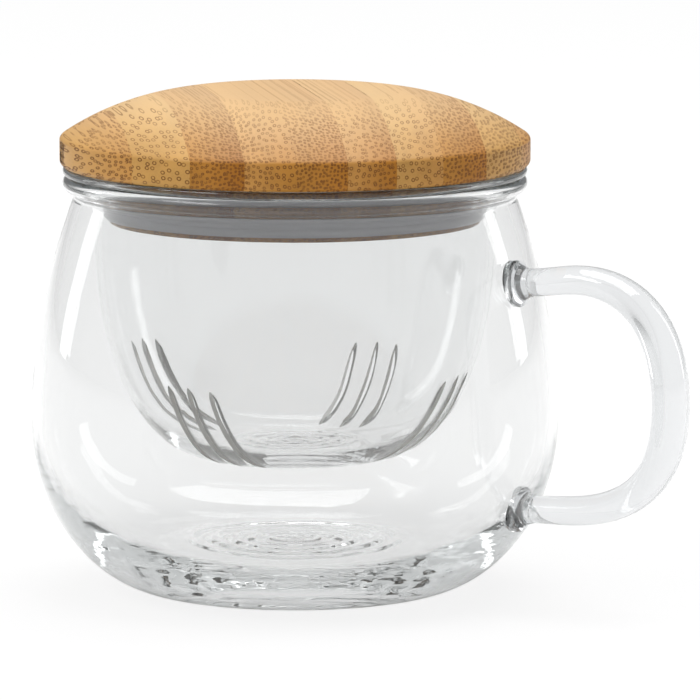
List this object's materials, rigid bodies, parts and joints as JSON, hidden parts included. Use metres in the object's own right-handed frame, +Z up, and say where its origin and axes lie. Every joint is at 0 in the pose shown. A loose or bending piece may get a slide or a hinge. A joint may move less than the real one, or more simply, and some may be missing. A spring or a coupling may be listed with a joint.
{
  "type": "lidded tea mug with infuser",
  "caption": "Round-bellied glass tea mug with a welded glass handle, a lift-out slotted glass infuser and a lift-off laminated bamboo lid with a soft sealing ring.",
  "frame": {"origin": "centre of the mug's foot, on the table", "axes": "+Z up, +X from the mug's middle towards the handle, +Y completes a right-handed frame"},
  "size_m": [0.1399, 0.1066, 0.1011],
  "materials": {
    "mug_glass": "clear polished borosilicate glass",
    "infuser_glass": "clear polished glass with ground, frosted slits",
    "bamboo_light": "satin, pale end-grain bamboo",
    "bamboo_mid": "satin, tan end-grain bamboo",
    "bamboo_dark": "satin, brown dense-fibred bamboo",
    "seal_silicone": "translucent matte silicone"
  },
  "bodies": {
    "mug": {"mug_body": "mug_glass", "mug_handle": "mug_glass", "handle_upper_joint": "mug_glass", "handle_lower_joint": "mug_glass"},
    "infuser": {"infuser_basket": "infuser_glass"},
    "lid": {"lid_stave_01": "bamboo_mid", "lid_stave_02": "bamboo_light", "lid_stave_03": "bamboo_dark", "lid_stave_04": "bamboo_mid", "lid_stave_05": "bamboo_dark", "lid_stave_06": "bamboo_mid", "lid_stave_07": "bamboo_light", "lid_stave_08": "bamboo_dark", "lid_stave_09": "bamboo_mid", "lid_stave_10": "bamboo_mid", "lid_seal": "seal_silicone"}
  },
  "joints": [
    {"name": "infuser_lift", "type": "slide", "parent": "mug", "child": "infuser", "axis": [0, 0, 1], "range_m": [0, 0.075]},
    {"name": "lid_lift", "type": "slide", "parent": "infuser", "child": "lid", "axis": [0, 0, 1], "range_m": [0, 0.05]}
  ]
}
